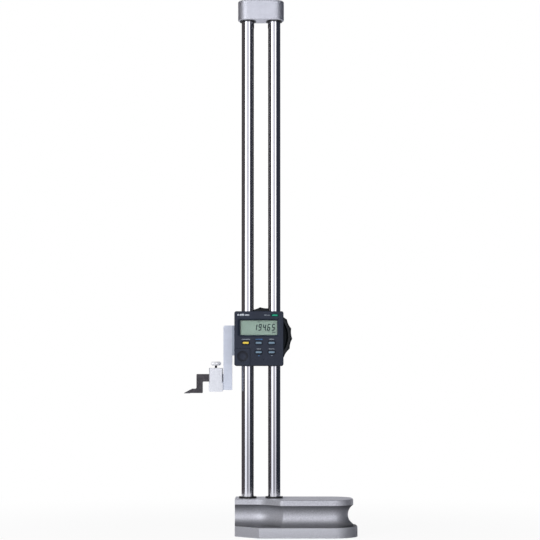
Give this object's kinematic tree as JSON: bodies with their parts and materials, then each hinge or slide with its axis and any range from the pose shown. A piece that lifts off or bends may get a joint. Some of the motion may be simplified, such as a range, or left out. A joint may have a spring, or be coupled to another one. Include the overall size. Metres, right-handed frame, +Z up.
{
  "type": "height gauge",
  "caption": "Digital height gauge: two round columns on a heavy coved base, a display slider with a rear handwheel, and a clamped scriber.",
  "frame": {"origin": "on the underside of the base, midway between the two columns", "axes": "+Z up along the columns, +X towards the long end of the base, +Y away from the display; the scriber points to -X"},
  "size_m": [0.2457, 0.1006, 0.763],
  "materials": {
    "base_paint": "fine textured grey enamel",
    "column_steel": "ground and polished",
    "rack_steel": "cut teeth, light oil",
    "black_rubber": "matt moulded",
    "black_screw": "black oxide",
    "satin_aluminium": "satin anodised",
    "slider_aluminium": "matt black anodised",
    "bronze": "turned",
    "satin_steel": "satin chrome plated",
    "shaft_steel": "ground",
    "plate_steel": "zinc plated",
    "dark_steel": "dark hardened steel",
    "carbide": "ground carbide",
    "white_nylon": "turned nylon",
    "black_plastic": "moulded, semi-gloss",
    "housing_plastic": "fine moulded grain",
    "copper_board": "fibreglass board",
    "cell_steel": "nickel plated",
    "clear_window": "clear acrylic",
    "lcd_glass": "reflective display glass",
    "green_lens": "translucent green",
    "yellow_button": "rubbery moulded",
    "grey_button": "rubbery moulded"
  },
  "bodies": {
    "stand": {"base": "base_paint", "left_column": "column_steel", "right_column": "column_steel", "left_rack": "rack_steel", "right_rack": "rack_steel", "base_collars": "black_rubber", "cap_rings": "black_rubber", "column_bolts": "black_screw", "top_cap": "satin_aluminium", "cap_screws": "black_screw"},
    "slider_unit": {"slider_body": "slider_aluminium", "bush_left_lower": "bronze", "bush_left_upper": "bronze", "bush_right_lower": "bronze", "bush_right_upper": "bronze", "feed_bush_front": "bronze", "feed_bush_rear": "bronze", "encoder_bush": "bronze", "gear_cover": "slider_aluminium", "cover_screws": "black_screw", "clamp_pad": "bronze", "front_housing": "housing_plastic", "battery_cell": "cell_steel", "battery_contact": "bronze", "lcd_window": "clear_window", "lcd_panel": "lcd_glass", "lcd_carrier": "black_plastic", "circuit_board": "copper_board", "key_switches": "black_plastic", "indicator_lens": "green_lens", "screw_plug": "housing_plastic", "case_screw": "black_screw", "back_plate": "plate_steel", "plate_screws": "black_screw", "encoder_reader": "black_plastic", "output_connector": "black_plastic", "bracket": "satin_steel", "bracket_block": "satin_steel", "bracket_screws": "black_screw"},
    "wheel_unit": {"feed_shaft": "shaft_steel", "thrust_washer": "white_nylon", "handwheel": "black_plastic", "wheel_screw": "black_screw"},
    "encoder_unit": {"encoder_shaft": "shaft_steel", "encoder_disc": "copper_board"},
    "lever_unit": {"clamp_screw": "black_screw", "clamp_lever": "satin_steel"},
    "button_origin": {"button_origin": "yellow_button"},
    "button_mode": {"button_mode": "grey_button"},
    "button_zero": {"button_zero": "grey_button"},
    "button_hold": {"button_hold": "grey_button"},
    "button_data": {"button_data": "grey_button"},
    "battery_cover": {"battery_cover": "housing_plastic"},
    "scriber_clamp": {"scriber_clamp": "satin_steel"},
    "thumbscrew": {"thumbscrew": "satin_steel"},
    "scriber": {"scriber": "dark_steel", "scriber_tip": "carbide"}
  },
  "joints": [
    {"name": "slider_travel", "type": "slide", "parent": "stand", "child": "slider_unit", "axis": [0, 0, 1], "range_m": [-0.1843, 0.4157]},
    {"name": "handwheel_turn", "type": "hinge", "parent": "slider_unit", "child": "wheel_unit", "pos_m": [0.0027, 0, 0.2838], "axis": [0, 1, 0], "range_deg": [-1244, 2804]},
    {"name": "encoder_turn", "type": "hinge", "parent": "slider_unit", "child": "encoder_unit", "pos_m": [-0.0027, 0, 0.2626], "axis": [0, 1, 0], "range_deg": [-2804, 1244]},
    {"name": "slider_clamp_turn", "type": "hinge", "parent": "slider_unit", "child": "lever_unit", "pos_m": [-0.0188, 0.0154, 0.2586], "axis": [0, 1, 0], "range_deg": [-45, 0]},
    {"name": "button_origin_press", "type": "slide", "parent": "slider_unit", "child": "button_origin", "axis": [0, 1, 0], "range_m": [0, 0.0008], "stiffness_N_per_m": 900, "springref_m": -0.0005},
    {"name": "button_mode_press", "type": "slide", "parent": "slider_unit", "child": "button_mode", "axis": [0, 1, 0], "range_m": [0, 0.0008], "stiffness_N_per_m": 900, "springref_m": -0.0005},
    {"name": "button_zero_press", "type": "slide", "parent": "slider_unit", "child": "button_zero", "axis": [0, 1, 0], "range_m": [0, 0.0008], "stiffness_N_per_m": 900, "springref_m": -0.0005},
    {"name": "button_hold_press", "type": "slide", "parent": "slider_unit", "child": "button_hold", "axis": [0, 1, 0], "range_m": [0, 0.0008], "stiffness_N_per_m": 900, "springref_m": -0.0005},
    {"name": "button_data_press", "type": "slide", "parent": "slider_unit", "child": "button_data", "axis": [0, 1, 0], "range_m": [0, 0.0008], "stiffness_N_per_m": 900, "springref_m": -0.0005},
    {"name": "battery_cover_slide", "type": "slide", "parent": "slider_unit", "child": "battery_cover", "axis": [-1, 0, 0], "range_m": [0, 0.024]},
    {"name": "scriber_clamp_slide", "type": "slide", "parent": "slider_unit", "child": "scriber_clamp", "axis": [-1, 0, 0], "range_m": [-0.0007, 0.008]},
    {"name": "scriber_slide", "type": "slide", "parent": "slider_unit", "child": "scriber", "axis": [-1, 0, 0], "range_m": [0, 0.012]},
    {"name": "thumbscrew_turn", "type": "hinge", "parent": "scriber_clamp", "child": "thumbscrew", "pos_m": [-0.06405, 0, 0.2381], "axis": [0, 0, 1], "range_deg": [0, 360]}
  ],
  "couplings": [
    {"joint": "handwheel_turn", "follows": "slider_travel", "rad_per_m": 117.65},
    {"joint": "encoder_turn", "follows": "slider_travel", "rad_per_m": -117.65}
  ]
}
